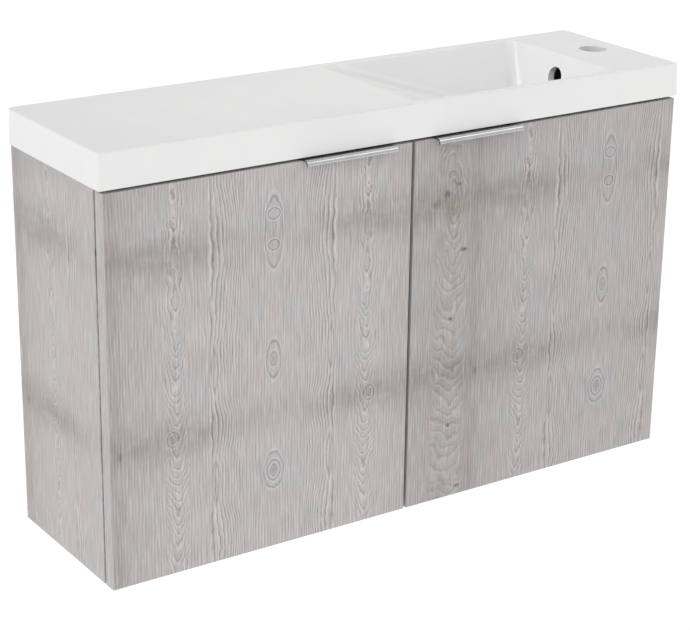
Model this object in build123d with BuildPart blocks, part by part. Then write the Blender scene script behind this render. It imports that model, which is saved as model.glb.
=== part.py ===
from build123d import *
import os
from math import cos, radians, tan

os.makedirs("parts", exist_ok=True)

# Wall-hung slim vanity unit: a cast basin on a two-door cabinet.
# Frame: +Z up, +X to the right seen from the front, -Y towards the user.
# Origin: rear bottom edge of the cabinet, at mid width, on the wall plane.

# ------------------------------------------------------------ driving dimensions, mm
basin_w = 800.0          # width at the top edge
basin_d = 220.0          # depth at the top edge
basin_h = 41.0           # height of the visible rim
basin_flare = 1.5        # the rim leans out by this much towards its lower edge
deck_t = 12.0            # thickness of the flat shelf and tap deck

cab_w = 794.0            # cabinet width over the side panels
cab_d = 200.0            # carcass depth, wall to front edge
cab_h = 464.0            # carcass height
board = 16.0             # carcass board thickness
back_t = 3.0             # back panel thickness
back_gap = 16.0          # recess behind the back panel for the wall plates

door_t = 18.0            # door thickness
door_gap = 3.0           # carcass front edge to door back
door_top_gap = 3.5       # door top to basin underside
mid_gap = 4.0            # between the two doors

bowl_x0 = 8.0            # crease where the flat shelf turns into the sloped bowl floor
bowl_x1 = 301.5          # top edge of the bowl's right wall
bowl_y0 = -211.5         # top edge of the bowl's front wall
bowl_y1 = -15.0          # top edge of the bowl's back wall
bowl_depth = 65.0
bowl_ramp_x = 210.0      # foot of the sloped floor
bowl_side_lean = 27.0    # lean of the front and back walls, degrees
bowl_end_lean = 12.0     # lean of the right wall, degrees
bowl_shell = 9.5         # wall thickness of the bowl
bowl_foot_r = 13.0       # rounding at the foot of the bowl's walls

tap_x, tap_y, tap_d = 359.5, -106.0, 35.0
tap_nut_r = 24.0         # room for the tap's nut and washer under the deck
waste_x, waste_y, waste_d = 250.0, -113.25, 45.0
overflow_y, overflow_z, overflow_d = -110.0, 477.0, 25.0

handle_len = 122.0
handle_mid = 90.0        # handle centre from the unit's centre line
handle_y = -232.0        # front of the handle lip

hinge_z = (80.0, 350.0)  # hinge heights
pin_x = 390.0            # hinge axis, from the centre line
pin_y = -212.0           # hinge axis, from the wall
cup_off = 13.2           # cup centre inboard of the hinge axis
cup_r = 17.45
cup_in_r = 16.8

shelf_z = 216.0          # underside of the shelf

# ------------------------------------------------------------ derived
basin_top = cab_h + basin_h
half = cab_w / 2
inner = half - board
door_back = -(cab_d + door_gap)
door_front = door_back - door_t
door_h = cab_h - door_top_gap
floor_z = basin_top - bowl_depth
t_side = tan(radians(bowl_side_lean))
t_end = tan(radians(bowl_end_lean))
ramp = bowl_depth / (bowl_ramp_x - bowl_x0)
back_front = -(back_gap + back_t)


def block(x0, x1, y0, y1, z0, z1, mode=Mode.ADD):
    """A box between two corners, in the part being built."""
    with Locations(((x0 + x1) / 2, (y0 + y1) / 2, (z0 + z1) / 2)):
        Box(abs(x1 - x0), abs(y1 - y0), abs(z1 - z0), mode=mode)


def rod_x(x0, x1, y, z, r, mode=Mode.ADD):
    """A cylinder along X."""
    with Locations(((x0 + x1) / 2, y, z)):
        Cylinder(r, abs(x1 - x0), rotation=(0, 90, 0), mode=mode)


def rod_y(x, y0, y1, z, r, mode=Mode.ADD):
    """A cylinder along Y."""
    with Locations((x, (y0 + y1) / 2, z)):
        Cylinder(r, abs(y1 - y0), rotation=(90, 0, 0), mode=mode)


def rod_z(x, y, z0, z1, r, mode=Mode.ADD):
    """A cylinder along Z."""
    with Locations((x, y, (z0 + z1) / 2)):
        Cylinder(r, abs(z1 - z0), mode=mode)


# ------------------------------------------------------------ joinery positions
side_dowel_y = (-168.0, -62.0)    # dowels, bottom panel to side panel
side_cam_y = (-140.0, -90.0)      # cam bolts, bottom panel to side panel
rail_y = -(cab_d - board / 2)     # mid thickness of the front rail
rail_z0 = 384.0
rail_dowel_z = 400.0
rail_cam_z = 444.0
cam_reach = 30.0                  # cam centre from the board's end
pin_rows = (-170.0, -48.0)        # shelf pin rows
pin_z = shelf_z - 2.5
plate_y = -(cab_d - 37.0)         # hinge plate screw line, 37 mm behind the front edge
hang_z0, hang_z1 = 398.0, 448.0
hook_x = 373.5
rail_notch_x = (98.0, 314.0)
rail_notch_z = 422.0

# ============================================================ basin
# The hollow of the bowl runs on above the deck, so that its rounded lower edges end cleanly there.
over = 20.0
with BuildPart() as bowl_void:
    with BuildSketch(Plane.XZ):
        with BuildLine():
            Polyline(
                (bowl_x0 - over / ramp, basin_top + over),
                (bowl_ramp_x, floor_z),
                (bowl_x1 - bowl_depth * t_end, floor_z),
                (bowl_x1 + over * t_end, basin_top + over),
                close=True,
            )
        make_face()
    extrude(amount=300, both=True)
    with BuildSketch(Plane.YZ):
        with BuildLine():
            Polyline(
                (bowl_y0 - over * t_side, basin_top + over),
                (bowl_y0 + bowl_depth * t_side, floor_z),
                (bowl_y1 - bowl_depth * t_side, floor_z),
                (bowl_y1 + over * t_side, basin_top + over),
                close=True,
            )
        make_face()
    extrude(amount=500, both=True, mode=Mode.INTERSECT)
    # soft turn from the sloped floor to the level floor round the waste
    fillet(
        bowl_void.edges()
        .filter_by(Axis.Y)
        .filter_by_position(Axis.Z, floor_z - 0.1, floor_z + 0.1)
        .sort_by(Axis.X)[0],
        90,
    )
    # upright corners at the right wall
    fillet(
        bowl_void.edges().filter_by(
            lambda e: e.center().X > 285 and abs((e @ 1 - e @ 0).Z) > 60
        ),
        14,
    )
    # rounded foot of all the walls
    fillet(
        bowl_void.edges().filter_by(
            lambda e: e.center().Z < basin_top + over - 1
            and abs((e @ 1 - e @ 0).normalized().Z) < 0.7
            and not (abs((e @ 1 - e @ 0).normalized().Y) > 0.99 and e.center().X < 275)
        ),
        bowl_foot_r,
    )

# The bowl's outer skin, seen from inside the cabinet.
skin_top = basin_top - 6.0
skin_bot = floor_z - bowl_shell
drop_ramp = bowl_shell * (1 + ramp**2) ** 0.5
off_side = bowl_shell / cos(radians(bowl_side_lean))
off_end = bowl_shell / cos(radians(bowl_end_lean))
with BuildPart() as bowl_skin:
    with BuildSketch(Plane.XZ):
        with BuildLine():
            Polyline(
                (bowl_x0 + (basin_top - drop_ramp - skin_top) / ramp, skin_top),
                (bowl_x0 + (basin_top - drop_ramp - skin_bot) / ramp, skin_bot),
                (bowl_x1 - (basin_top - skin_bot) * t_end + off_end, skin_bot),
                (bowl_x1 - (basin_top - skin_top) * t_end + off_end, skin_top),
                close=True,
            )
        make_face()
    extrude(amount=300, both=True)
    with BuildSketch(Plane.YZ):
        with BuildLine():
            Polyline(
                (bowl_y0 + (basin_top - skin_top) * t_side - off_side, skin_top),
                (bowl_y0 + (basin_top - skin_bot) * t_side - off_side, skin_bot),
                (bowl_y1 - (basin_top - skin_bot) * t_side + off_side, skin_bot),
                (bowl_y1 - (basin_top - skin_top) * t_side + off_side, skin_top),
                close=True,
            )
        make_face()
    extrude(amount=500, both=True, mode=Mode.INTERSECT)
    fillet(
        bowl_skin.edges().filter_by(
            lambda e: e.center().X > 285 and abs((e @ 1 - e @ 0).Z) > 50
        ),
        20,
    )

boss_z0 = floor_z - 22.0
with BuildPart() as basin:
    # rim and deck
    with BuildSketch(Plane.XY.offset(cab_h)) as rim_low:
        with Locations((0, -(basin_d + basin_flare) / 2)):
            Rectangle(basin_w + 2 * basin_flare, basin_d + basin_flare)
        fillet(rim_low.vertices().group_by(Axis.Y)[0], 3)
        fillet(rim_low.vertices().group_by(Axis.Y)[-1], 6)
    with BuildSketch(Plane.XY.offset(basin_top)) as rim_high:
        with Locations((0, -basin_d / 2)):
            Rectangle(basin_w, basin_d)
        fillet(rim_high.vertices().group_by(Axis.Y)[0], 3)
        fillet(rim_high.vertices().group_by(Axis.Y)[-1], 6)
    loft()
    fillet(basin.faces().sort_by(Axis.Z)[-1].edges(), 2)
    # hollow underside between the bearing rims
    block(-376, 376, -190, -24, cab_h, basin_top - deck_t, Mode.SUBTRACT)
    add(bowl_skin.part)
    rod_z(waste_x, waste_y, boss_z0, floor_z - 4, 34)
    add(bowl_void.part, mode=Mode.SUBTRACT)
    # waste hole and its side port from the overflow channel
    rod_z(waste_x, waste_y, boss_z0 - 5, floor_z + 20, waste_d / 2, Mode.SUBTRACT)
    block(waste_x, waste_x + 40, waste_y - 6, waste_y + 6, boss_z0 + 3, boss_z0 + 9, Mode.SUBTRACT)
    # tap hole, and room for the nut below it, let into the bearing rim
    rod_z(tap_x, tap_y, basin_top - deck_t - 1, basin_top + 10, tap_d / 2, Mode.SUBTRACT)
    rod_z(tap_x, tap_y, cab_h - 1, basin_top - deck_t, tap_nut_r, Mode.SUBTRACT)
    fillet(
        basin.edges().filter_by(GeomType.CIRCLE).filter_by(
            lambda e: abs(e.center().Z - basin_top) < 0.01 and abs(e.radius - tap_d / 2) < 0.01
        ),
        0.8,
    )
    # overflow hole through the right wall
    rod_x(280, 320, overflow_y, overflow_z, overflow_d / 2, Mode.SUBTRACT)
    # eased edge where the bowl opens into the deck
    fillet(
        basin.edges().filter_by(
            lambda e: abs(e.center().Z - basin_top) < 0.01
            and e.bounding_box().size.Z < 0.01
            and -380 < e.center().X < 320
            and -217 < e.center().Y < -5
        ),
        2,
    )
basin.part.label = "basin"
export_step(basin.part, "parts/basin.step")

# Moulded channel that leads the overflow down the outside of the bowl to the waste.
with BuildPart() as overflow_channel:
    with BuildSketch(Plane.XZ.offset(-(overflow_y + 18))):
        with BuildLine():
            Polyline(
                (296, 492.5), (328, 492.5), (328, boss_z0 - 1), (272, boss_z0 - 1),
                (272, floor_z - 6), (296, floor_z - 6), close=True,
            )
        make_face()
    extrude(amount=36)
    with BuildSketch(Plane.XZ.offset(-(overflow_y + 15))):
        with BuildLine():
            Polyline(
                (290, 489.5), (325, 489.5), (325, boss_z0 + 2), (260, boss_z0 + 2),
                (260, floor_z), (290, floor_z), close=True,
            )
        make_face()
    extrude(amount=30, mode=Mode.SUBTRACT)
    add(bowl_skin.part, mode=Mode.SUBTRACT)
    rod_z(waste_x, waste_y, boss_z0 - 20, floor_z, 34, Mode.SUBTRACT)
overflow_channel.part.label = "overflow_channel"
export_step(overflow_channel.part, "parts/overflow_channel.step")

# Silicone fillet under the rim, along the inside of both side panels.
with BuildPart() as silicone_beads:
    for s in (-1, 1):
        with BuildSketch(Plane.XZ.offset(30)):
            with BuildLine():
                Polyline((s * inner, cab_h), (s * (inner - 4), cab_h), (s * inner, cab_h - 4), close=True)
            make_face()
        extrude(amount=150)
    # the bead stops at the room for the tap's nut
    rod_z(tap_x, tap_y, cab_h - 10, cab_h + 1, tap_nut_r + 1, Mode.SUBTRACT)
silicone_beads.part.label = "silicone_beads"
export_step(silicone_beads.part, "parts/silicone_beads.step")

# ============================================================ carcass
with BuildPart() as side_panel_right:
    block(inner, half, -cab_d, 0, 0, cab_h)
    # groove for the back panel
    block(inner, inner + 6, back_front - 0.1, -back_gap + 0.1, 10, cab_h, Mode.SUBTRACT)
    for y in side_dowel_y:
        rod_x(inner, inner + 11, y, board / 2, 4, Mode.SUBTRACT)
    for y in side_cam_y:
        rod_x(inner, inner + 11, y, board / 2, 2.5, Mode.SUBTRACT)
    rod_x(inner, inner + 11, rail_y, rail_dowel_z, 4, Mode.SUBTRACT)
    rod_x(inner, inner + 11, rail_y, rail_cam_z, 2.5, Mode.SUBTRACT)
    # shelf pin rows, 32 mm pitch
    for y in pin_rows:
        for k in (-2, -1, 0, 1, 2):
            rod_x(inner, inner + 10, y, pin_z + 32 * k, 2.5, Mode.SUBTRACT)
    # hinge plate screws
    for z in hinge_z:
        for dz in (-16, 16):
            rod_x(inner, inner + 12, plate_y, z + dz, 2.5, Mode.SUBTRACT)
    # hanger screws
    for dz in (-16, 16):
        rod_x(inner, inner + 12, -64, (hang_z0 + hang_z1) / 2 + dz, 2.5, Mode.SUBTRACT)
    chamfer(
        side_panel_right.edges().filter_by(Axis.Z).filter_by_position(Axis.Y, -cab_d - 0.1, -cab_d + 0.1),
        0.6,
    )
side_panel_right.part.label = "side_panel_right"
export_step(side_panel_right.part, "parts/side_panel_right.step")

with BuildPart() as side_panel_left:
    mirror(side_panel_right.part, about=Plane.YZ)
side_panel_left.part.label = "side_panel_left"
export_step(side_panel_left.part, "parts/side_panel_left.step")

with BuildPart() as bottom_panel:
    block(-inner, inner, -cab_d, 0, 0, board)
    block(-inner, inner, back_front - 0.1, -back_gap + 0.1, 10, board, Mode.SUBTRACT)
    for s in (-1, 1):
        for y in side_dowel_y:
            rod_x(s * (inner - 21), s * inner, y, board / 2, 4, Mode.SUBTRACT)
        for y in side_cam_y:
            rod_x(s * (inner - 34), s * inner, y, board / 2, 4, Mode.SUBTRACT)
            rod_z(s * (inner - cam_reach), y, 3, board, 7.5, Mode.SUBTRACT)
    chamfer(
        bottom_panel.edges().filter_by(Axis.X).filter_by_position(Axis.Y, -cab_d - 0.1, -cab_d + 0.1),
        0.6,
    )
bottom_panel.part.label = "bottom_panel"
export_step(bottom_panel.part, "parts/bottom_panel.step")

# Front rail, cut out under the rim where the bowl hangs down.
with BuildPart() as front_rail:
    block(-inner, inner, -cab_d, -cab_d + board, rail_z0, cab_h)
    block(*rail_notch_x, -cab_d - 1, -cab_d + board + 1, rail_notch_z, cab_h + 1, Mode.SUBTRACT)
    for s in (-1, 1):
        rod_x(s * (inner - 21), s * inner, rail_y, rail_dowel_z, 4, Mode.SUBTRACT)
        rod_x(s * (inner - 34), s * inner, rail_y, rail_cam_z, 4, Mode.SUBTRACT)
        rod_y(s * (inner - cam_reach), -cab_d + board, -cab_d + 3, rail_cam_z, 7.5, Mode.SUBTRACT)
    chamfer(
        front_rail.edges().filter_by(Axis.X).filter_by_position(Axis.Z, rail_z0 - 0.1, rail_z0 + 0.1),
        0.6,
    )
front_rail.part.label = "front_rail"
export_step(front_rail.part, "parts/front_rail.step")

# Back panel in its grooves, with the plumbing cut-out and slots for the hanging hooks.
with BuildPart() as back_panel:
    block(-inner - 5.5, inner + 5.5, back_front, -back_gap, 10.5, cab_h - 0.5)
    block(190, 315, back_front - 1, -back_gap + 1, 250, 410, Mode.SUBTRACT)
    for s in (-1, 1):
        block(s * (hook_x - 4.5), s * (hook_x + 4.5), back_front - 1, -back_gap + 1, 408, 440, Mode.SUBTRACT)
back_panel.part.label = "back_panel"
export_step(back_panel.part, "parts/back_panel.step")

with BuildPart() as shelf:
    block(-inner + 1.5, inner - 1.5, -185, -22, shelf_z, shelf_z + board)
    chamfer(
        shelf.edges().filter_by(Axis.X).filter_by_position(Axis.Y, -185.1, -184.9),
        0.6,
    )
shelf.part.label = "shelf"
export_step(shelf.part, "parts/shelf.step")

# Four pins under the shelf: a peg in the side panel, a collar and a bearing nose.
with BuildPart() as shelf_pins:
    for s in (-1, 1):
        for y in pin_rows:
            rod_x(s * (inner - 8), s * (inner + 9), y, pin_z, 2.45)
            rod_x(s * (inner - 1.2), s * inner, y, pin_z, 3.4)
shelf_pins.part.label = "shelf_pins"
export_step(shelf_pins.part, "parts/shelf_pins.step")

with BuildPart() as carcass_dowels:
    for s in (-1, 1):
        for y in side_dowel_y:
            rod_x(s * (inner - 20), s * (inner + 10), y, board / 2, 3.95)
        rod_x(s * (inner - 20), s * (inner + 10), rail_y, rail_dowel_z, 3.95)
    chamfer(carcass_dowels.edges().filter_by(GeomType.CIRCLE), 0.8)
carcass_dowels.part.label = "carcass_dowels"
export_step(carcass_dowels.part, "parts/carcass_dowels.step")

# Cam bolts: thread in the side panel, collar, shank, and a head that the cam pulls on.
with BuildPart() as cam_bolts:
    for s in (-1, 1):
        spots = [(y, board / 2) for y in side_cam_y] + [(rail_y, rail_cam_z)]
        for y, z in spots:
            rod_x(s * inner, s * (inner + 10), y, z, 2.45)
            rod_x(s * inner, s * (inner - 2), y, z, 3.6)
            rod_x(s * (inner - 2), s * (inner - 27), y, z, 2.2)
            rod_x(s * (inner - 27), s * (inner - 30), y, z, 3.4)
cam_bolts.part.label = "cam_bolts"
export_step(cam_bolts.part, "parts/cam_bolts.step")

# Cam locks: round zinc housings with a mouth for the bolt's head and a cross slot for the driver.
with BuildPart() as cam_locks:
    for s in (-1, 1):
        cx = s * (inner - cam_reach)
        for y in side_cam_y:
            rod_z(cx, y, 3.2, board - 0.3, 7.4)
            block(cx - s * 0.5, cx + s * 9, y - 2.6, y + 2.6, 2, board / 2 + 4, Mode.SUBTRACT)
            block(cx - s * 0.6, cx + s * 4.4, y - 3.9, y + 3.9, 2, board / 2 + 4, Mode.SUBTRACT)
            block(cx - 4, cx + 4, y - 0.7, y + 0.7, board - 1.8, board, Mode.SUBTRACT)
            block(cx - 0.7, cx + 0.7, y - 4, y + 4, board - 1.8, board, Mode.SUBTRACT)
        rod_y(cx, -cab_d + 3.2, -cab_d + board - 0.3, rail_cam_z, 7.4)
        ym = rail_y
        block(cx - s * 0.5, cx + s * 9, -cab_d + 2, ym + 4, rail_cam_z - 2.6, rail_cam_z + 2.6, Mode.SUBTRACT)
        block(cx - s * 0.6, cx + s * 4.4, -cab_d + 2, ym + 4, rail_cam_z - 3.9, rail_cam_z + 3.9, Mode.SUBTRACT)
        block(cx - 4, cx + 4, -cab_d + board - 1.8, -cab_d + board, rail_cam_z - 0.7, rail_cam_z + 0.7, Mode.SUBTRACT)
        block(cx - 0.7, cx + 0.7, -cab_d + board - 1.8, -cab_d + board, rail_cam_z - 4, rail_cam_z + 4, Mode.SUBTRACT)
cam_locks.part.label = "cam_locks"
export_step(cam_locks.part, "parts/cam_locks.step")

# ============================================================ wall hanging
# Hanger bodies in the top rear corners, each with a slot that its hook slides in.
hang_mid = (hang_z0 + hang_z1) / 2
with BuildPart() as hanger_bodies:
    for s in (-1, 1):
        block(s * (inner - 15), s * inner, -82, back_front - 0.2, hang_z0, hang_z1)
    fillet(hanger_bodies.edges().filter_by(Axis.X).filter_by_position(Axis.Y, -82.1, -81.9), 4)
    for s in (-1, 1):
        block(s * (hook_x - 1.7), s * (hook_x + 1.7), -60, 0, 411, 437, Mode.SUBTRACT)
        # adjusting screws from the front
        rod_y(s * hook_x, -90, -70, hang_z0 + 10, 3.0, Mode.SUBTRACT)
        rod_y(s * hook_x, -90, -70, hang_z1 - 8, 3.0, Mode.SUBTRACT)
        # fixing screws into the side panel
        for dz in (-16, 16):
            rod_x(s * (inner - 16), s * (inner + 1), -64, hang_mid + dz, 2.6, Mode.SUBTRACT)
            rod_x(s * (inner - 16), s * (inner - 12), -64, hang_mid + dz, 4.6, Mode.SUBTRACT)
hanger_bodies.part.label = "hanger_bodies"
export_step(hanger_bodies.part, "parts/hanger_bodies.step")

with BuildPart() as hanger_hooks:
    for s in (-1, 1):
        with BuildSketch(Plane.YZ.offset(s * hook_x - 1.5)):
            with BuildLine():
                Polyline(
                    (-58, 412), (-24, 412), (-24, 425), (-8, 425), (-8, 414), (-4.5, 414),
                    (-4.5, 436), (-58, 436), close=True,
                )
            make_face()
        extrude(amount=3)
hanger_hooks.part.label = "hanger_hooks"
export_step(hanger_hooks.part, "parts/hanger_hooks.step")

with BuildPart() as hanger_screws:
    for s in (-1, 1):
        for z in (hang_z0 + 10, hang_z1 - 8):
            rod_y(s * hook_x, -83.5, -70.5, z, 2.9)
            rod_y(s * hook_x, -83.5, -82.05, z, 4.2)
            block(s * hook_x - 3, s * hook_x + 3, -84, -82.7, z - 0.5, z + 0.5, Mode.SUBTRACT)
            block(s * hook_x - 0.5, s * hook_x + 0.5, -84, -82.7, z - 3, z + 3, Mode.SUBTRACT)
        for dz in (-16, 16):
            rod_x(s * (inner - 14.6), s * (inner + 11), -64, hang_mid + dz, 2.45)
            rod_x(s * (inner - 14.6), s * (inner - 12.1), -64, hang_mid + dz, 4.4)
            block(s * (inner - 15), s * (inner - 13.4), -67, -61, hang_mid + dz - 0.5, hang_mid + dz + 0.5, Mode.SUBTRACT)
            block(s * (inner - 15), s * (inner - 13.4), -64.5, -63.5, hang_mid + dz - 3, hang_mid + dz + 3, Mode.SUBTRACT)
hanger_screws.part.label = "hanger_screws"
export_step(hanger_screws.part, "parts/hanger_screws.step")

# Wall plates: pressed plates with an upturned lip that the hooks drop over.
plate_hole_x = 350.0
plate_hole_z = (396.0, 438.0)
with BuildPart() as wall_plates:
    for s in (-1, 1):
        block(s * 334, s * 380, -2, 0, 386, 448)
        block(s * 334, s * 380, -10.5, -1, 409, 411)
        block(s * 334, s * 380, -10.5, -8.5, 409, 425)
    fillet(wall_plates.edges().filter_by(Axis.Y).filter_by_position(Axis.Y, -1.1, -0.9), 5)
    for s in (-1, 1):
        for z in plate_hole_z:
            rod_y(s * plate_hole_x, -3, 1, z, 3.25, Mode.SUBTRACT)
wall_plates.part.label = "wall_plates"
export_step(wall_plates.part, "parts/wall_plates.step")

# ============================================================ doors
door_x0, door_x1 = mid_gap / 2, half
handle_screw_x = (handle_mid - 48.0, handle_mid + 48.0)
handle_screw_z = 446.0
cup_x = pin_x - cup_off
cup_screw_x = cup_x - 9.5
with BuildPart() as door_right:
    block(door_x0, door_x1, door_front, door_back, 0, door_h)
    fillet(door_right.faces().sort_by(Axis.Y)[0].edges(), 0.8)
    chamfer(door_right.faces().sort_by(Axis.Y)[-1].edges(), 0.4)
    for z in hinge_z:
        rod_y(cup_x, door_back + 1, door_back - 12.9, z, 17.5, Mode.SUBTRACT)
        for dz in (-22.5, 22.5):
            rod_y(cup_screw_x, door_back + 1, door_back - 11, z + dz, 1.5, Mode.SUBTRACT)
    for x in handle_screw_x:
        rod_y(x, door_back + 1, door_back - 12, handle_screw_z, 1.5, Mode.SUBTRACT)
door_right.part.label = "door_right"
export_step(door_right.part, "parts/door_right.step")

with BuildPart() as door_left:
    mirror(door_right.part, about=Plane.YZ)
door_left.part.label = "door_left"
export_step(door_left.part, "parts/door_left.step")

# Edge-pull handle: flange behind the door, strip over the top edge, and a rounded lip in front.
lip_t = 1.8
lip_r = 5.0
lip_bottom = door_h - 4.5
plate_top = door_h + 1.5
with BuildPart() as handle_right:
    with BuildSketch(Plane.YZ.offset(handle_mid - handle_len / 2)):
        with BuildLine():
            Polyline(
                (door_back, door_h), (door_back, door_h - 22), (door_back + 1.4, door_h - 22),
                (door_back + 1.4, plate_top), (handle_y + lip_r, plate_top),
            )
            RadiusArc((handle_y + lip_r, plate_top), (handle_y, plate_top - lip_r), -lip_r)
            Polyline(
                (handle_y, plate_top - lip_r), (handle_y, lip_bottom), (handle_y + lip_t, lip_bottom),
                (handle_y + lip_t, plate_top - lip_r),
            )
            RadiusArc(
                (handle_y + lip_t, plate_top - lip_r),
                (handle_y + lip_r, door_h),
                lip_r - 1.65,
            )
            Line((handle_y + lip_r, door_h), (door_back, door_h))
        make_face()
    extrude(amount=handle_len)
    fillet(
        handle_right.edges().filter_by(Axis.X).filter_by_position(Axis.Z, lip_bottom - 0.1, lip_bottom + 0.1),
        0.6,
    )
    for x in handle_screw_x:
        rod_y(x, door_back - 1, door_back + 3, handle_screw_z, 1.9, Mode.SUBTRACT)
        with Locations((x, door_back + 0.5, handle_screw_z)):
            Cone(1.9, 3.3, 1.8, rotation=(-90, 0, 0), mode=Mode.SUBTRACT)
handle_right.part.label = "handle_right"
export_step(handle_right.part, "parts/handle_right.step")

with BuildPart() as handle_left:
    mirror(handle_right.part, about=Plane.YZ)
handle_left.part.label = "handle_left"
export_step(handle_left.part, "parts/handle_left.step")

with BuildPart() as handle_screws_right:
    for x in handle_screw_x:
        rod_y(x, door_back - 11.5, door_back + 0.2, handle_screw_z, 1.45)
        with Locations((x, door_back + 0.75, handle_screw_z)):
            Cone(1.7, 2.9, 1.4, rotation=(-90, 0, 0))
        block(x - 1.6, x + 1.6, door_back + 0.6, door_back + 2, handle_screw_z - 0.35, handle_screw_z + 0.35, Mode.SUBTRACT)
        block(x - 0.35, x + 0.35, door_back + 0.6, door_back + 2, handle_screw_z - 1.6, handle_screw_z + 1.6, Mode.SUBTRACT)
handle_screws_right.part.label = "handle_screws_right"
export_step(handle_screws_right.part, "parts/handle_screws_right.step")

with BuildPart() as handle_screws_left:
    mirror(handle_screws_right.part, about=Plane.YZ)
handle_screws_left.part.label = "handle_screws_left"
export_step(handle_screws_left.part, "parts/handle_screws_left.step")

# Clear bumpers on the door's back, at its free edge, against the rail and the bottom panel.
with BuildPart() as bumpers_right:
    for x, z in ((14.0, 8.0), (14.0, 408.0)):
        rod_y(x, door_back, door_back + 2.6, z, 4.0)
    fillet(bumpers_right.faces().group_by(Axis.Y)[-1].edges(), 1.2)
bumpers_right.part.label = "bumpers_right"
export_step(bumpers_right.part, "parts/bumpers_right.step")

with BuildPart() as bumpers_left:
    mirror(bumpers_right.part, about=Plane.YZ)
bumpers_left.part.label = "bumpers_left"
export_step(bumpers_left.part, "parts/bumpers_left.step")

# ============================================================ concealed hinges, right door
# The pivot pin sits in the cup, close to the door's outer edge. A cranked neck runs along the
# cup's floor, up out of its mouth and into the arm, so that the door's corner can swing past it.
with BuildPart() as hinge_cups_right:
    for z in hinge_z:
        with BuildSketch(Plane.XZ.offset(-door_back - 1.2)):
            with Locations(((cup_x + cup_off + 4.6 + cup_x - 16.3) / 2, z)):
                RectangleRounded(cup_off + 4.6 + 16.3, 36, 5)
            with Locations((cup_screw_x + 0.8, z)):
                RectangleRounded(14, 57, 5)
        extrude(amount=1.2)
        rod_y(cup_x, door_back, door_back - 12.7, z, cup_r)
        rod_y(cup_x, door_back + 2, pin_y + 2.6, z, cup_in_r, Mode.SUBTRACT)
        # lower half of the cup, leaving two lugs that hold the pivot pin
        with BuildSketch(Plane.XZ.offset(-(door_back - 12.1))):
            with Locations((cup_x, z)):
                Circle(cup_in_r)
            for s in (-1, 1):
                with Locations((pin_x - 0.3, z + s * 9.5)):
                    Rectangle(5.8, 10, mode=Mode.SUBTRACT)
        extrude(amount=-(pin_y + 2.7 - (door_back - 12.1)), mode=Mode.SUBTRACT)
        rod_z(pin_x, pin_y, z - 9.7, z + 9.7, 1.24, Mode.SUBTRACT)
        for dz in (-22.5, 22.5):
            rod_y(cup_screw_x, door_back - 1, door_back + 2, z + dz, 1.9, Mode.SUBTRACT)
            with Locations((cup_screw_x, door_back + 0.5, z + dz)):
                Cone(1.9, 3.2, 1.5, rotation=(-90, 0, 0), mode=Mode.SUBTRACT)
hinge_cups_right.part.label = "hinge_cups_right"
export_step(hinge_cups_right.part, "parts/hinge_cups_right.step")

with BuildPart() as hinge_cups_left:
    mirror(hinge_cups_right.part, about=Plane.YZ)
hinge_cups_left.part.label = "hinge_cups_left"
export_step(hinge_cups_left.part, "parts/hinge_cups_left.step")

with BuildPart() as cup_screws_right:
    for z in hinge_z:
        for dz in (-22.5, 22.5):
            rod_y(cup_screw_x, door_back - 10.5, door_back + 0.2, z + dz, 1.45)
            with Locations((cup_screw_x, door_back + 0.65, z + dz)):
                Cone(1.7, 2.9, 1.2, rotation=(-90, 0, 0))
            block(cup_screw_x - 1.6, cup_screw_x + 1.6, door_back + 0.6, door_back + 2, z + dz - 0.35, z + dz + 0.35, Mode.SUBTRACT)
            block(cup_screw_x - 0.35, cup_screw_x + 0.35, door_back + 0.6, door_back + 2, z + dz - 1.6, z + dz + 1.6, Mode.SUBTRACT)
cup_screws_right.part.label = "cup_screws_right"
export_step(cup_screws_right.part, "parts/cup_screws_right.step")

with BuildPart() as cup_screws_left:
    mirror(cup_screws_right.part, about=Plane.YZ)
cup_screws_left.part.label = "cup_screws_left"
export_step(cup_screws_left.part, "parts/cup_screws_left.step")

with BuildPart() as hinge_pins_right:
    for z in hinge_z:
        rod_z(pin_x, pin_y, z - 9.6, z + 9.6, 1.2)
hinge_pins_right.part.label = "hinge_pins_right"
export_step(hinge_pins_right.part, "parts/hinge_pins_right.step")

with BuildPart() as hinge_pins_left:
    mirror(hinge_pins_right.part, about=Plane.YZ)
hinge_pins_left.part.label = "hinge_pins_left"
export_step(hinge_pins_left.part, "parts/hinge_pins_left.step")

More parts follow.
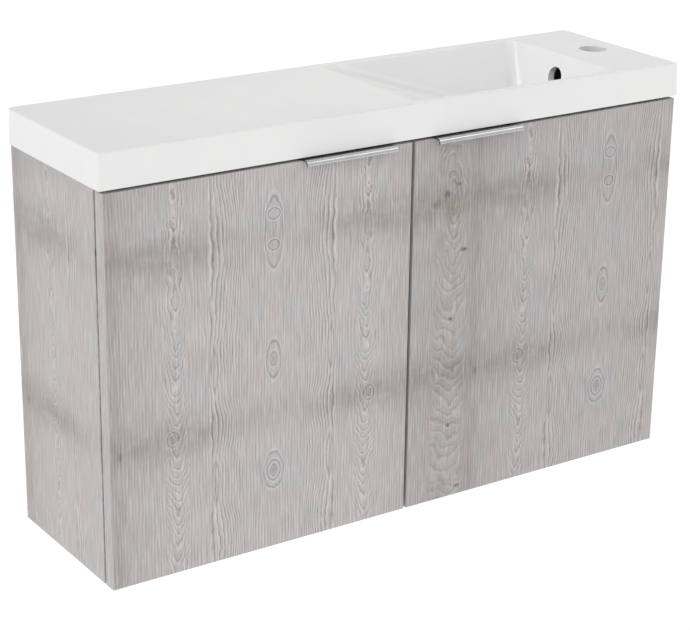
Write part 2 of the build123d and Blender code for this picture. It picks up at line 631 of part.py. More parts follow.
# Arm: a hollow bar over the mounting plate's ridge, ending in the cranked neck.
arm_x0 = inner - 3.5                 # underside of the arm, on the plate
arm_x1 = inner - 12.5
arm_y0, arm_y1 = -199.0, -139.0
neck_x0, neck_x1 = pin_x - 12.0, pin_x - 14.4
neck_z = 4.0
slot_y, fix_y = -178.0, -152.0       # side adjusting screw, fixing screw
with BuildPart() as hinge_arms_right:
    for z in hinge_z:
        block(arm_x1, arm_x0, arm_y0, arm_y1, z - 7.5, z + 7.5)
        # neck: ear, run along the cup floor, rise out of the cup
        rod_z(pin_x, pin_y, z - neck_z, z + neck_z, 2.3)
        block(neck_x1, pin_x - 1.0, pin_y - 2.3, pin_y - 0.8, z - neck_z, z + neck_z)
        block(neck_x1, neck_x0, pin_y - 2.3, arm_y0 + 3, z - neck_z, z + neck_z)
    fillet(
        hinge_arms_right.edges().filter_by(Axis.Z).filter_by_position(Axis.Y, pin_y - 2.4, pin_y - 2.2)
        .filter_by_position(Axis.X, neck_x1 - 0.1, neck_x1 + 0.1),
        1.8,
    )
    fillet(
        hinge_arms_right.edges().filter_by(Axis.Y).filter_by_position(Axis.X, arm_x1 - 0.1, arm_x1 + 0.1),
        2.0,
    )
    for z in hinge_z:
        # hollow over the plate's ridge, closed at the front end
        block(arm_x1 + 1.6, arm_x0 + 1, arm_y0 + 8, arm_y1 + 1, z - 5.6, z + 5.6, Mode.SUBTRACT)
        rod_z(pin_x, pin_y, z - 5, z + 5, 1.26, Mode.SUBTRACT)
        rod_x(arm_x1 - 1, arm_x1 + 3, slot_y, z, 2.6, Mode.SUBTRACT)
        with BuildSketch(Plane.YZ.offset(arm_x1 - 1)):
            with Locations((fix_y, z)):
                SlotOverall(11, 5.4)
        extrude(amount=4, mode=Mode.SUBTRACT)
hinge_arms_right.part.label = "hinge_arms_right"
export_step(hinge_arms_right.part, "parts/hinge_arms_right.step")

with BuildPart() as hinge_arms_left:
    mirror(hinge_arms_right.part, about=Plane.YZ)
hinge_arms_left.part.label = "hinge_arms_left"
export_step(hinge_arms_left.part, "parts/hinge_arms_left.step")

# Mounting plate: cross-shaped, with a ridge that the arm sits over.
with BuildPart() as hinge_plates_right:
    for z in hinge_z:
        with BuildSketch(Plane.YZ.offset(inner - 3.5)):
            with Locations((plate_y, z)):
                RectangleRounded(15, 50, 4)
            with Locations(((-187 + -137) / 2, z)):
                RectangleRounded(50, 17, 3)
        extrude(amount=3.5)
        block(arm_x1 + 3.4, inner - 3, -187, -141, z - 5.3, z + 5.3)
        for dz in (-16, 16):
            rod_x(inner - 4, inner + 1, plate_y, z + dz, 2.7, Mode.SUBTRACT)
            with Locations((inner - 2.3, plate_y, z + dz)):
                Cone(2.7, 4.6, 2.6, rotation=(0, -90, 0), mode=Mode.SUBTRACT)
        rod_x(arm_x1 + 2, inner - 5, slot_y, z, 2.0, Mode.SUBTRACT)
        rod_x(arm_x1 + 2, inner - 5, fix_y, z, 2.0, Mode.SUBTRACT)
hinge_plates_right.part.label = "hinge_plates_right"
export_step(hinge_plates_right.part, "parts/hinge_plates_right.step")

with BuildPart() as hinge_plates_left:
    mirror(hinge_plates_right.part, about=Plane.YZ)
hinge_plates_left.part.label = "hinge_plates_left"
export_step(hinge_plates_left.part, "parts/hinge_plates_left.step")

with BuildPart() as hinge_plate_screws_right:
    for z in hinge_z:
        for dz in (-16, 16):
            rod_x(inner - 2, inner + 11, plate_y, z + dz, 2.45)
            with Locations((inner - 2.4, plate_y, z + dz)):
                Cone(2.45, 4.2, 2.2, rotation=(0, -90, 0))
            block(inner - 4, inner - 2.3, plate_y - 2.4, plate_y + 2.4, z + dz - 0.45, z + dz + 0.45, Mode.SUBTRACT)
            block(inner - 4, inner - 2.3, plate_y - 0.45, plate_y + 0.45, z + dz - 2.4, z + dz + 2.4, Mode.SUBTRACT)
hinge_plate_screws_right.part.label = "hinge_plate_screws_right"
export_step(hinge_plate_screws_right.part, "parts/hinge_plate_screws_right.step")

with BuildPart() as hinge_plate_screws_left:
    mirror(hinge_plate_screws_right.part, about=Plane.YZ)
hinge_plate_screws_left.part.label = "hinge_plate_screws_left"
export_step(hinge_plate_screws_left.part, "parts/hinge_plate_screws_left.step")

# Arm screws: one fixes the arm to the plate, one sets the door sideways.
with BuildPart() as hinge_arm_screws_right:
    for z in hinge_z:
        rod_x(arm_x1 - 1.4, inner - 6, fix_y, z, 1.95)
        rod_x(arm_x1 - 1.4, arm_x1 - 0.05, fix_y, z, 4.2)
        rod_x(arm_x1 - 0.6, inner - 6, slot_y, z, 1.95)
        rod_x(arm_x1 - 0.6, arm_x1 + 1.2, slot_y, z, 2.5)
        for y, x in ((fix_y, arm_x1 - 1.4), (slot_y, arm_x1 - 0.6)):
            block(x - 1, x + 0.7, y - 2, y + 2, z - 0.4, z + 0.4, Mode.SUBTRACT)
            block(x - 1, x + 0.7, y - 0.4, y + 0.4, z - 2, z + 2, Mode.SUBTRACT)
hinge_arm_screws_right.part.label = "hinge_arm_screws_right"
export_step(hinge_arm_screws_right.part, "parts/hinge_arm_screws_right.step")

with BuildPart() as hinge_arm_screws_left:
    mirror(hinge_arm_screws_right.part, about=Plane.YZ)
hinge_arm_screws_left.part.label = "hinge_arm_screws_left"
export_step(hinge_arm_screws_left.part, "parts/hinge_arm_screws_left.step")
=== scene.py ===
import math
import bpy
from mathutils import Matrix, Vector

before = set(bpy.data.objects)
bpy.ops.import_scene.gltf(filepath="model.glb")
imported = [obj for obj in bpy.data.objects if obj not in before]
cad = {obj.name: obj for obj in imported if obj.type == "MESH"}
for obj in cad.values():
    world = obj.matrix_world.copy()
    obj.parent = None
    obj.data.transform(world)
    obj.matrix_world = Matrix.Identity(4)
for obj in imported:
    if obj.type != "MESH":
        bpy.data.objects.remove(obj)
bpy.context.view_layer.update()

scene = bpy.context.scene


# ------------------------------------------------------------------ node building
class Tree:
    """Short-hand for building a shader: every call adds one node and returns its output socket."""

    def __init__(self, mat):
        self.nt = mat.node_tree
        self.nt.nodes.clear()
        self.count = 0

    def node(self, kind, **props):
        n = self.nt.nodes.new(kind)
        n.location = (-220 * (self.count // 12), -160 * (self.count % 12))
        self.count += 1
        for k, v in props.items():
            setattr(n, k, v)
        return n

    def put(self, socket, value):
        if isinstance(value, bpy.types.NodeSocket):
            self.nt.links.new(value, socket)
        else:
            socket.default_value = value

    def math(self, op, a, b=None, c=None, clamp=False):
        n = self.node("ShaderNodeMath", operation=op, use_clamp=clamp)
        self.put(n.inputs[0], a)
        if b is not None:
            self.put(n.inputs[1], b)
        if c is not None:
            self.put(n.inputs[2], c)
        return n.outputs[0]

    def add(self, a, b): return self.math("ADD", a, b)
    def sub(self, a, b): return self.math("SUBTRACT", a, b)
    def mul(self, a, b): return self.math("MULTIPLY", a, b)
    def mad(self, a, b, c): return self.math("MULTIPLY_ADD", a, b, c)
    def abs(self, a): return self.math("ABSOLUTE", a)
    def frac(self, a): return self.math("FRACT", a)
    def less(self, a, b): return self.math("LESS_THAN", a, b)
    def more(self, a, b): return self.math("GREATER_THAN", a, b)

    def step(self, x, lo, hi, out0=0.0, out1=1.0):
        """Smooth step from out0 to out1 as x goes from lo to hi."""
        n = self.node("ShaderNodeMapRange", interpolation_type="SMOOTHSTEP")
        self.put(n.inputs["Value"], x)
        self.put(n.inputs["From Min"], lo)
        self.put(n.inputs["From Max"], hi)
        self.put(n.inputs["To Min"], out0)
        self.put(n.inputs["To Max"], out1)
        return n.outputs["Result"]

    def lin(self, x, lo, hi, out0=0.0, out1=1.0):
        n = self.node("ShaderNodeMapRange", interpolation_type="LINEAR", clamp=True)
        self.put(n.inputs["Value"], x)
        self.put(n.inputs["From Min"], lo)
        self.put(n.inputs["From Max"], hi)
        self.put(n.inputs["To Min"], out0)
        self.put(n.inputs["To Max"], out1)
        return n.outputs["Result"]

    def bell(self, x, mid, width):
        """1 at mid, falling smoothly to 0 about two widths away."""
        d = self.mul(self.sub(x, mid), 1.0 / width)
        return self.math("POWER", 2.7183, self.mul(self.mul(d, d), -1.0))

    def pick(self, f, a, b):
        """a where f is 0, b where f is 1."""
        n = self.node("ShaderNodeMix", data_type="FLOAT")
        self.put(n.inputs[0], f)
        self.put(n.inputs[2], a)
        self.put(n.inputs[3], b)
        return n.outputs[0]

    def blend(self, f, a, b, mode="MIX"):
        n = self.node("ShaderNodeMix", data_type="RGBA", blend_type=mode)
        self.put(n.inputs[0], f)
        self.put(n.inputs[6], a)
        self.put(n.inputs[7], b)
        return n.outputs[2]

    def vec(self, x, y, z):
        n = self.node("ShaderNodeCombineXYZ")
        for i, v in enumerate((x, y, z)):
            self.put(n.inputs[i], v)
        return n.outputs[0]

    def xyz(self, v):
        n = self.node("ShaderNodeSeparateXYZ")
        self.put(n.inputs[0], v)
        return n.outputs[0], n.outputs[1], n.outputs[2]

    def noise(self, v, scale=1.0, detail=2.0, rough=0.5, distortion=0.0):
        n = self.node("ShaderNodeTexNoise", noise_dimensions="3D")
        self.put(n.inputs["Vector"], v)
        n.inputs["Scale"].default_value = scale
        n.inputs["Detail"].default_value = detail
        n.inputs["Roughness"].default_value = rough
        n.inputs["Distortion"].default_value = distortion
        return n.outputs[0]

    def coords(self):
        n = self.node("ShaderNodeTexCoord")
        return n.outputs["Object"], n.outputs["Normal"]

    def bump(self, height, strength, distance, normal=None):
        n = self.node("ShaderNodeBump")
        n.inputs["Strength"].default_value = strength
        n.inputs["Distance"].default_value = distance
        self.put(n.inputs["Height"], height)
        if normal is not None:
            self.put(n.inputs["Normal"], normal)
        return n.outputs[0]

    def surface(self, **inputs):
        bsdf = self.node("ShaderNodeBsdfPrincipled")
        for k, v in inputs.items():
            self.put(bsdf.inputs[k.replace("_", " ")], v)
        out = self.node("ShaderNodeOutputMaterial")
        self.nt.links.new(bsdf.outputs[0], out.inputs[0])
        return bsdf


def material(name):
    m = bpy.data.materials.new(name)
    m.use_nodes = True
    return m, Tree(m)


def rgb(r, g, b):
    """An sRGB shade of 0..255 as linear colour."""
    def lin(c):
        c /= 255.0
        return c / 12.92 if c <= 0.04045 else ((c + 0.055) / 1.055) ** 2.4
    return (lin(r), lin(g), lin(b), 1.0)


def wear(*names, mat):
    for n in names:
        o = cad[n]
        o.data.materials.clear()
        o.data.materials.append(mat)


# ------------------------------------------------------------------ camera
cam_data = bpy.data.cameras.new("camera")
cam_data.sensor_width = 36.0
cam_data.sensor_fit = "HORIZONTAL"
cam_data.lens = 2020.4 * 36.0 / 690.0
cam_data.clip_start = 0.05
cam_data.clip_end = 100.0
cam = bpy.data.objects.new("camera", cam_data)
scene.collection.objects.link(cam)
right = Vector((0.8313426, -0.5555959, 0.0135153))
down = Vector((-0.1819961, -0.2951389, -0.9379608))
ahead = Vector((0.5251160, 0.7773071, -0.3464778))
pose = Matrix((right, -down, -ahead)).transposed().to_4x4()
pose.translation = Vector((-1.30874, -2.02271, 1.07150))
cam.matrix_world = pose
scene.camera = cam

# ------------------------------------------------------------------ studio
scene.view_settings.view_transform = "Standard"
world = bpy.data.worlds.new("studio")
scene.world = world
world.use_nodes = True
world.node_tree.nodes["Background"].inputs["Color"].default_value = (1.0, 1.0, 1.0, 1.0)
world.node_tree.nodes["Background"].inputs["Strength"].default_value = 0.765

FLOOR_Z = -0.42
floor_mesh = bpy.data.meshes.new("floor")
floor_mesh.from_pydata([(-20, -20, FLOOR_Z), (20, -20, FLOOR_Z), (20, 20, FLOOR_Z), (-20, 20, FLOOR_Z)], [], [(0, 1, 2, 3)])
floor = bpy.data.objects.new("floor", floor_mesh)
scene.collection.objects.link(floor)
m, t = material("floor_pale")
t.surface(Base_Color=(0.93, 0.93, 0.93, 1.0), Roughness=0.9, Specular_IOR_Level=0.0,
          Emission_Color=(1.0, 1.0, 1.0, 1.0), Emission_Strength=0.32)
floor_mesh.materials.append(m)


def softbox(name, at, aim, size, power, spread=180.0):
    data = bpy.data.lights.new(name, "AREA")
    data.shape = "RECTANGLE"
    data.size, data.size_y = size
    data.energy = power
    o = bpy.data.objects.new(name, data)
    scene.collection.objects.link(o)
    o.location = at
    data.spread = math.radians(spread)
    o.rotation_euler = (Vector(aim) - Vector(at)).to_track_quat("-Z", "Y").to_euler()
    return o


softbox("key_left", (-2.8, -0.7, 1.7), (0.0, -0.1, 0.35), (1.4, 1.4), 6.0)
softbox("bowl_fill", (-1.2, -0.14, 1.12), (0.285, -0.11, 0.485), (0.3, 0.3), 0.12, spread=24.0)
softbox("key_front", (0.0, -2.6, 2.2), (0.28, -0.05, 0.48), (0.4, 0.4), 1.4)
softbox("top_right", (1.8, -1.5, 2.6), (0.0, -0.15, 0.45), (0.8, 0.8), 5.0)



# ------------------------------------------------------------------ basin
m_basin, t = material("basin_gloss_white")
p, n = t.coords()
x, y, z = t.xyz(p)
nx, ny, nz = t.xyz(n)
cloud = t.noise(p, scale=7.0, detail=3.0)
film = t.noise(p, scale=38.0, detail=4.0, rough=0.6)
fine = t.noise(p, scale=620.0, detail=2.0)
pit = t.step(t.noise(p, scale=1500.0, detail=1.0), 0.70, 0.78)
# the underside and the inside of the cabinet show the raw back of the casting
raw = t.mul(t.less(nz, -0.35), t.less(z, 0.4985))
col = t.blend(t.step(cloud, 0.32, 0.68), rgb(235, 235, 235), rgb(238, 238, 237))
col = t.blend(t.mul(t.step(film, 0.55, 0.8), 0.25), col, rgb(230, 230, 229))
col = t.blend(raw, col, rgb(214, 213, 208))
rough = t.add(t.lin(film, 0.3, 0.75, 0.16, 0.24), t.mul(raw, 0.3))
t.surface(Base_Color=col, Roughness=rough, Coat_Weight=0.2, Coat_Roughness=0.06, Specular_IOR_Level=0.5,
          Normal=t.bump(t.add(t.mul(fine, t.mad(raw, 4.0, 0.6)), t.mul(pit, t.mul(raw, -3.0))), 0.10, 0.0002))
wear("basin", mat=m_basin)

# the overflow channel is a dark plastic moulding, painted near-black also as painted shade for the dark of the
# overflow cavity
m_channel_dark_and_shade, t = material("basin_channel_dark_moulding_and_shade")
p, n = t.coords()
cloud = t.noise(p, scale=40.0, detail=3.0)
fine = t.noise(p, scale=900.0, detail=2.0)
t.surface(Base_Color=t.blend(cloud, rgb(38, 38, 39), rgb(50, 50, 51)), Roughness=t.lin(cloud, 0.3, 0.7, 0.42, 0.58),
          Normal=t.bump(fine, 0.25, 0.0002))
wear("overflow_channel", mat=m_channel_dark_and_shade)

# ------------------------------------------------------------------ grey-washed pine foil
# The decor is book-matched: every board repeats one pattern, mirrored about a column of small eye knots.
# m is the distance from that column in millimetres, l the distance along the grain. Four columns carry a figure,
# and fine straight grain runs between them.
# ellipses of grain round the eye and branch knots: distance from the mirror line, height, half width, half height, strength
RINGS = ((0, 406, 7.5, 6.5, 0.9), (0, 370, 6.8, 6.0, 0.9), (0, 386, 11.5, 41, 0.6), (0, 235, 4.6, 8, 0.55), (0, 234, 9.0, 22, 0.6),
         (0, 97, 4.2, 7, 0.6), (0, 97, 8.6, 13, 0.7), (0, 97, 13.0, 22, 0.6), (131, 165, 3.6, 4.5, 0.6), (131, 165, 7.4, 9.0, 0.55),
         (130, 415, 5.0, 4.0, 0.45), (130, 361, 5.0, 4.0, 0.45), (77, 236, 4.2, 24, 0.45), (77, 100, 4.2, 24, 0.45))
# knots proper: distance, height, half width, half height, darkness
KNOTS = ((0, 235, 4, 6, 0.28), (0, 97, 5, 6, 0.34), (131, 165, 3.5, 4.5, 0.22), (130, 416, 4, 3, 0.25), (130, 361, 4, 3, 0.25),
         (247, 391, 6.5, 6, 1.0), (230, 401, 5.5, 3.5, 0.95), (263, 380, 8, 6, 0.5), (221, 319, 6.5, 3.2, 1.0), (197, 160, 3.5, 7, 0.55),
         (237, 234, 3.5, 3, 0.9), (236, 96, 3.5, 3, 0.8), (220, 12, 6, 3, 1.0), (0, 383, 1.0, 7, 0.5))


def curve(t, value, points, reach, top):
    """A smooth curve through given points, as a function of value in millimetres."""
    n = t.node("ShaderNodeFloatCurve")
    c = n.mapping.curves[0]
    pts = [(a / reach, b / top) for a, b in points]
    c.points[0].location = pts[0]
    c.points[1].location = pts[-1]
    for q in pts[1:-1]:
        c.points.new(*q)
    for q in c.points:
        q.handle_type = "AUTO_CLAMPED"
    n.mapping.update()
    t.put(n.inputs["Value"], t.mul(value, 1.0 / reach))
    return t.mul(n.outputs[0], top)


def oval(t, point, cx, cy, a, b):
    """Distance from an ellipse's middle, 1 on the ellipse."""
    off = t.node("ShaderNodeVectorMath", operation="SUBTRACT")
    t.put(off.inputs[0], point)
    off.inputs[1].default_value = (cx, cy, 0.0)
    size = t.node("ShaderNodeVectorMath", operation="MULTIPLY")
    t.put(size.inputs[0], off.outputs[0])
    size.inputs[1].default_value = (1.0 / a, 1.0 / b, 0.0)
    dist = t.node("ShaderNodeVectorMath", operation="LENGTH")
    t.put(dist.inputs[0], size.outputs[0])
    return dist.outputs["Value"]


def window(t, x, a, b, c, d):
    return t.mul(t.step(x, a, b), t.step(x, c, d, 1.0, 0.0))


def foil(name, front=187.6, side=-23.0, along="z", emboss=1.0, shade=1.0, dark=1.0):
    m_, t = material(name)
    p, n = t.coords()
    x, y, z = t.xyz(p)
    nx, ny, nz = t.xyz(n)
    ax, ay, az = t.abs(nx), t.abs(ny), t.abs(nz)
    on_side = t.mul(t.more(ax, ay), t.more(ax, az))
    on_flat = t.mul(t.more(az, ay), t.more(az, ax))
    if along == "z":
        across = t.pick(on_side, t.mad(x, 1000.0, front), t.mad(y, 1000.0, side))
        across = t.pick(on_flat, across, t.mad(y, 1000.0, side))
        l = t.mul(t.pick(on_flat, z, x), 1000.0)
    else:
        across = t.pick(on_flat, t.mad(z, 1000.0, front), t.mad(y, 1000.0, side))
        l = t.mul(t.pick(on_side, x, z), 1000.0)
    across = t.math("PINGPONG", t.add(across, 600.0), 300.0) if along != "z" else across
    m = t.abs(across)
    point = t.vec(m, l, 0.0)

    # slow drift of the grain and the small wobble of its lines
    drift = t.sub(t.noise(t.vec(t.mul(m, 1 / 26.0), t.mul(l, 1 / 105.0), 3.0), detail=2.0), 0.5)
    wobble = t.sub(t.noise(t.vec(t.mul(m, 1 / 7.0), t.mul(l, 1 / 13.0), 7.0), detail=2.0), 0.5)
    swirl = t.sub(t.noise(t.vec(t.mul(m, 1 / 30.0), t.mul(l, 1 / 42.0), 5.0), detail=1.0), 0.5)

    # straight grain, parted round the eye knots
    parted = None
    for cy, w in ((97, 4.6), (235, 4.0), (388, 5.5), (165, 2.5)):
        r = oval(t, point, 0, cy, 22, 46 if cy == 388 else 30)
        push = t.step(r, 0.0, 1.0, w, 0.0)
        parted = push if parted is None else t.add(parted, push)
    p_straight = t.mad(drift, 2.2, t.mad(wobble, 0.35, t.mul(t.sub(m, parted), 1 / 3.9)))

    # field: lines fan out from two pinches on its inner edge and close on a branch knot
    fan = curve(t, l, ((0, 6.5), (22, 8.0), (60, 4.0), (110, 0.8), (140, 2.4), (165, 5.6), (190, 2.4), (235, 0.6), (290, 2.6),
                       (340, 6.0), (383, 10.0), (420, 6.6), (470, 1.0), (520, 0.5)), 520.0, 10.0)
    reach = t.lin(m, 38.0, 84.0)
    crowd = t.math("POWER", t.math("MAXIMUM", t.sub(1.0, reach), 0.0001), t.mad(fan, 0.18, 1.0))
    p_field = t.mad(reach, 4.5, t.mul(t.sub(1.0, crowd), 7.0))
    p_field = t.mad(swirl, 1.5, t.mad(wobble, 0.6, p_field))
    in_field = window(t, m, 39.0, 45.0, 82.0, 86.0)

    # figure: ragged sides above, nested cathedral points below
    off = t.sub(m, 126.0)
    arch = t.mul(t.math("SQRT", t.mad(off, off, 30.0)), 1 / 3.7)
    climb = curve(t, l, ((0, 0.0), (60, 3.0), (120, 9.0), (165, 11.5), (250, 17.5), (300, 20.0), (360, 20.6), (520, 21.0)), 520.0, 21.0)
    p_figure = t.mad(swirl, 3.4, t.mad(wobble, 1.3, t.sub(arch, climb)))
    in_figure = window(t, m, 109.0, 114.0, 138.0, 143.0)

    # dark column: long ovals round the knots, then points again
    p_dark = t.mul(oval(t, point, 237, 386, 4.4, 15.0), 1.0)
    p_dark = t.mad(swirl, 3.4, t.mad(wobble, 0.9, p_dark))
    in_dark = window(t, m, 205.0, 224.0, 254.0, 270.0)

    # g marks the dark groove of each line (grain colour and painted groove shade), c the light crest beside it (a
    # painted highlight)
    def lines(phase, d0, d1, b0, b1):
        f = t.frac(phase)
        g = t.mul(t.step(f, 0.0, d0), t.step(f, d0 + 0.02, d1, 1.0, 0.0))
        c = t.mul(t.step(f, b0 - 0.1, b0), t.step(f, b0 + 0.04, b1, 1.0, 0.0))
        return g, c

    g0, c0 = lines(p_straight, 0.10, 0.34, 0.42, 0.68)
    g1, c1 = lines(p_field, 0.10, 0.36, 0.42, 0.70)
    g2, c2 = lines(p_figure, 0.09, 0.30, 0.36, 0.62)
    g3, c3 = lines(p_dark, 0.10, 0.34, 0.42, 0.66)
    patchy = t.noise(t.vec(t.mul(m, 1 / 22.0), t.mul(l, 1 / 48.0), 11.0), detail=2.0)
    broken = t.lin(t.noise(t.vec(t.mul(m, 1 / 3.2), t.mul(l, 1 / 30.0), 13.0), detail=2.0), 0.36, 0.58, 0.25, 1.0)
    strong = t.lin(patchy, 0.34, 0.66, 0.55, 1.0)
    plain = t.math("MAXIMUM", t.sub(t.sub(t.sub(1.0, in_field), in_figure), in_dark), 0.0)
    plain = t.mul(plain, t.lin(m, 3.0, 12.0, 0.25, 1.0))
    plain = t.mul(plain, t.step(m, 84.0, 98.0, 1.0, 0.75))
    groove_line_and_shade = t.mul(t.mul(t.mul(g0, plain), broken), t.mul(strong, 0.72))
    crest_painted_highlight = t.mul(t.mul(t.mul(c0, plain), broken), t.mul(strong, 0.75))
    soft = t.mul(strong, t.lin(broken, 0.25, 1.0, 0.6, 1.0))
    for g, c, where, amount in ((g1, c1, in_field, 1.05), (g2, c2, in_figure, 0.80), (g3, c3, in_dark, 0.48)):
        groove_line_and_shade = t.add(groove_line_and_shade, t.mul(t.mul(g, where), t.mul(soft, amount)))
        crest_painted_highlight = t.add(crest_painted_highlight, t.mul(t.mul(c, where), t.mul(soft, amount)))
    for cx, cy, a, b, amount in RINGS:
        r = t.mad(wobble, 0.35, oval(t, point, cx, cy, a, b))
        edge = 1.1 / a
        groove_line_and_shade = t.math("MAXIMUM", groove_line_and_shade, t.mul(window(t, r, 1.0 - edge, 1.0, 1.0, 1.0 + edge), amount))
        crest_painted_highlight = t.math("MAXIMUM", crest_painted_highlight, t.mul(window(t, r, 1.0 + edge * 0.6, 1.0 + 1.5 * edge, 1.0 + 1.5 * edge, 1.0 + 2.6 * edge), amount * 0.8))
    knots = None
    for cx, cy, a, b, amount in KNOTS:
        if cx > 215:
            amount *= dark
        core = t.step(t.mad(wobble, 0.6, oval(t, point, cx, cy, a, b)), 0.2, 1.15, amount, 0.0)
        knots = core if knots is None else t.math("MAXIMUM", knots, core)

    # light grey, darker by the dark column, then broad pink, blue and beige washes
    col = t.blend(t.mul(t.step(m, 120.0, 205.0), t.step(m, 240.0, 300.0, 1.0, 0.6)), rgb(190, 185, 184), rgb(179, 174, 172))
    wash = t.noise(t.vec(t.mul(m, 1 / 26.0), t.mul(l, 1 / 62.0), 17.0), detail=2.0)
    col = t.blend(t.step(wash, 0.54, 0.70, 0.0, 0.6), col, rgb(193, 182, 181))
    col = t.blend(t.step(wash, 0.30, 0.46, 0.6, 0.0), col, rgb(180, 183, 187))
    warm = t.noise(t.vec(t.mul(across, 1 / 17.0), t.mul(l, 1 / 50.0), 23.0), detail=2.0)
    col = t.blend(t.step(warm, 0.58, 0.74, 0.0, 0.45), col, rgb(190, 184, 174))
    # two weathered bands across the grain, heavier away from the mirror line
    ragged = t.noise(t.vec(t.mul(across, 1 / 40.0), t.mul(l, 1 / 22.0), 31.0), detail=3.0, rough=0.6)
    band = t.add(t.bell(l, 166.0, 24.0), t.bell(l, 380.0, 26.0))
    band = t.add(band, t.mul(t.bell(l, 480.0, 34.0), 0.5))
    band = t.mul(t.mul(band, t.step(m, 22.0, 120.0, 0.30, 1.0)), t.lin(ragged, 0.28, 0.56, 0.30, 1.0))
    col = t.blend(t.mul(band, 0.74), col, rgb(148, 142, 141))
    edge_dark = window(t, m, 188.0, 202.0, 204.0, 222.0)
    col = t.blend(t.mul(edge_dark, t.lin(patchy, 0.3, 0.6, 0.20, 0.42)), col, rgb(146, 138, 136))
    smoke = t.noise(t.vec(t.mul(across, 1 / 19.0), t.mul(l, 1 / 26.0), 41.0), detail=3.0)
    column = t.mul(t.step(m, 196.0, 248.0), t.step(m, 262.0, 292.0, 1.0, 0.25))
    near = t.step(oval(t, point, 240, 390, 46, 84), 0.25, 1.0, 0.80, 0.10)
    col = t.blend(t.mul(t.mul(t.mul(column, near), t.step(smoke, 0.36, 0.66)), 0.78 * dark), col, rgb(142, 130, 117))
    col = t.blend(knots, col, rgb(108, 92, 80))
    # fibres, then the embossed grain: each groove is darkened, partly the grain line's own colour and partly painted
    # groove shade, and the crest beside it is lightened as a painted highlight
    fibre = t.noise(t.vec(t.mul(across, 1 / 1.7), t.mul(l, 1 / 38.0), 2.0), detail=3.0, rough=0.65)
    col = t.blend(t.lin(fibre, 0.34, 0.56, 0.34, 0.0), col, rgb(140, 134, 131))
    col = t.blend(t.lin(fibre, 0.50, 0.70, 0.0, 0.34), col, rgb(220, 216, 213))
    groove_line_and_shade = t.math("MINIMUM", groove_line_and_shade, 1.0)
    crest_painted_highlight = t.math("MINIMUM", crest_painted_highlight, 1.0)
    col = t.blend(t.mul(groove_line_and_shade, 0.70 * emboss), col, rgb(96, 86, 83))
    col = t.blend(t.mul(crest_painted_highlight, 0.50 * emboss), col, rgb(232, 228, 225))
    # shade multiplies the whole board's colour: painted light and shade, making lighter and darker copies of one
    # decor
    if shade != 1.0:
        col = t.blend(1.0, col, (shade, shade, shade, 1.0), mode="MULTIPLY")
    height = t.mad(groove_line_and_shade, -1.0, t.mul(fibre, 0.35))
    t.surface(Base_Color=col, Roughness=t.lin(fibre, 0.3, 0.7, 0.62, 0.46), Specular_IOR_Level=0.35,
              Normal=t.bump(height, 0.5 * emboss, 0.0003))
    return m_


# painted light and shade: the right door is painted darker than the left, the side and flat boards lighter
wear("door_left", mat=foil("foil_door_left", front=187.6, side=243.0, shade=1.05))
wear("door_right", mat=foil("foil_door_right", front=-297.0, side=243.0, shade=0.95))
wear("side_panel_left", "side_panel_right", mat=foil("foil_side", front=150.0, side=215.0, emboss=0.72, shade=1.06))
wear("bottom_panel", "shelf", "front_rail", mat=foil("foil_flat", front=150.0, side=215.0, along="x", emboss=0.7, shade=1.08, dark=0.5))

# ------------------------------------------------------------------ thin back board
m_back, t = material("back_board_grey")
p, n = t.coords()
x, y, z = t.xyz(p)
fleck = t.noise(t.vec(t.mul(x, 260.0), t.mul(y, 260.0), t.mul(z, 90.0)), detail=3.0, rough=0.6)
cloud = t.noise(p, scale=8.0, detail=2.0)
col = t.blend(fleck, rgb(196, 193, 188), rgb(216, 213, 208))
col = t.blend(t.step(cloud, 0.4, 0.7, 0.0, 0.4), col, rgb(200, 196, 190))
t.surface(Base_Color=col, Roughness=t.lin(fleck, 0.3, 0.7, 0.62, 0.78), Normal=t.bump(fleck, 0.3, 0.0002))
wear("back_panel", mat=m_back)

# ------------------------------------------------------------------ metals
def metal(name, shade, rough0, rough1, grain=(900.0, 900.0, 900.0), bump=0.1, dirt=0.12, anis=0.0, cut_end_and_shade=None):
    """A worn metal skin: brushed along the slow axis of grain, with slightly dulled patches."""
    m_, t = material(name)
    p, n = t.coords()
    x, y, z = t.xyz(p)
    streak = t.noise(t.vec(t.mul(x, grain[0]), t.mul(y, grain[1]), t.mul(z, grain[2])), detail=3.0, rough=0.6)
    patch = t.noise(p, scale=60.0, detail=3.0)
    light = rgb(*shade)
    dull = tuple(c * (1 - 2.2 * dirt) for c in light[:3]) + (1.0,)
    col = t.blend(t.step(patch, 0.45, 0.75, 0.0, 0.8), light, dull)
    col = t.blend(t.lin(streak, 0.35, 0.65, 0.25, 0.0), col, dull)
    # end faces of the profile get a dark grey: duller cut metal, and painted shade for the shadow in the gap under
    # the lip
    if cut_end_and_shade:
        nx, ny, nz = t.xyz(n)
        col = t.blend(t.step(t.abs(nx), 0.6, 0.9), col, rgb(*cut_end_and_shade))
    rough = t.add(t.lin(streak, 0.3, 0.7, rough0, rough1), t.mul(patch, 0.05))
    t.surface(Base_Color=col, Metallic=1.0, Roughness=rough, Normal=t.bump(streak, bump, 0.00008))
    return m_


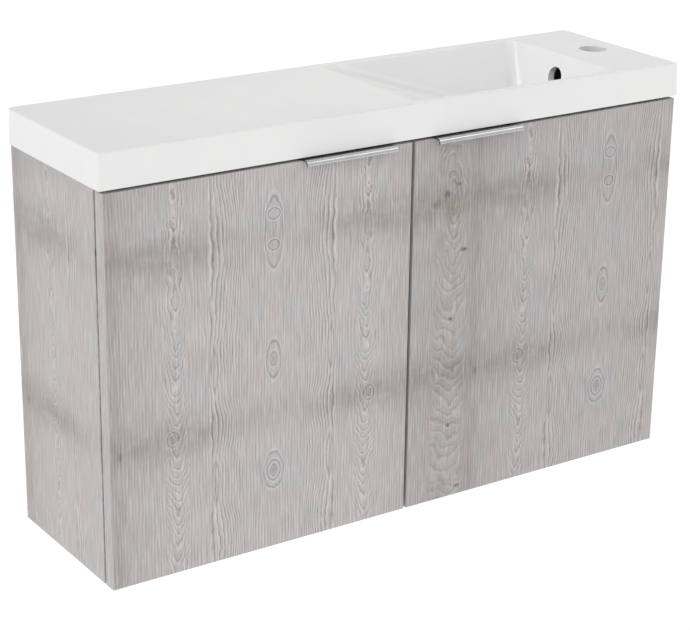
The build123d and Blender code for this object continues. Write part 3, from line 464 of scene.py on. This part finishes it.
wear("handle_left", "handle_right", mat=metal("handle_satin_aluminium", (198, 198, 199), 0.20, 0.30, grain=(40.0, 2600.0, 2600.0), bump=0.25, dirt=0.06, cut_end_and_shade=(96, 95, 94)))
m_nickel = metal("hinge_nickel", (196, 194, 189), 0.20, 0.34, grain=(300.0, 300.0, 300.0), bump=0.12)
m_steel = metal("screw_zinc_plate", (190, 191, 192), 0.28, 0.42, grain=(1200.0, 1200.0, 1200.0), bump=0.2)
m_zinc = metal("zinc_casting", (170, 172, 174), 0.42, 0.6, grain=(700.0, 700.0, 700.0), bump=0.5, dirt=0.16)
wear(*[k for k in cad if k.startswith(("hinge_cups", "hinge_arms", "hinge_plates"))], mat=m_nickel)
wear(*[k for k in cad if k.startswith(("hinge_pins", "cup_screws", "hinge_plate_screws", "hinge_arm_screws", "handle_screws", "hanger_screws",
                                       "cam_bolts", "shelf_pins"))], mat=m_steel)
wear("hanger_bodies", "hanger_hooks", "wall_plates", "cam_locks", mat=m_zinc)

# ------------------------------------------------------------------ small parts
m_beech, t = material("beech_dowel")
p, n = t.coords()
x, y, z = t.xyz(p)
g = t.noise(t.vec(t.mul(x, 120.0), t.mul(y, 1500.0), t.mul(z, 1500.0)), detail=3.0)
t.surface(Base_Color=t.blend(g, rgb(196, 160, 118), rgb(222, 192, 152)), Roughness=t.lin(g, 0.3, 0.7, 0.55, 0.7),
          Normal=t.bump(g, 0.3, 0.0002))
wear("carcass_dowels", mat=m_beech)

m_sil, t = material("silicone_white")
p, n = t.coords()
g = t.noise(p, scale=160.0, detail=3.0)
t.surface(Base_Color=t.blend(g, rgb(232, 232, 229), rgb(240, 240, 238)), Roughness=t.lin(g, 0.3, 0.7, 0.32, 0.48),
          Subsurface_Weight=0.1, Subsurface_Radius=(0.002, 0.002, 0.002), Normal=t.bump(g, 0.4, 0.0004))
wear("silicone_beads", mat=m_sil)

m_bump, t = material("bumper_clear")
p, n = t.coords()
g = t.noise(p, scale=300.0, detail=2.0)
t.surface(Base_Color=t.blend(g, rgb(226, 226, 224), rgb(236, 236, 234)), Roughness=t.lin(g, 0.3, 0.7, 0.12, 0.25),
          Transmission_Weight=0.6, IOR=1.45, Normal=t.bump(g, 0.1, 0.0002))
wear("bumpers_left", "bumpers_right", mat=m_bump)

bare = [k for k, o in cad.items() if not o.data.materials or o.data.materials[0] is None]
if bare:
    raise RuntimeError(f"no finish on {bare}")
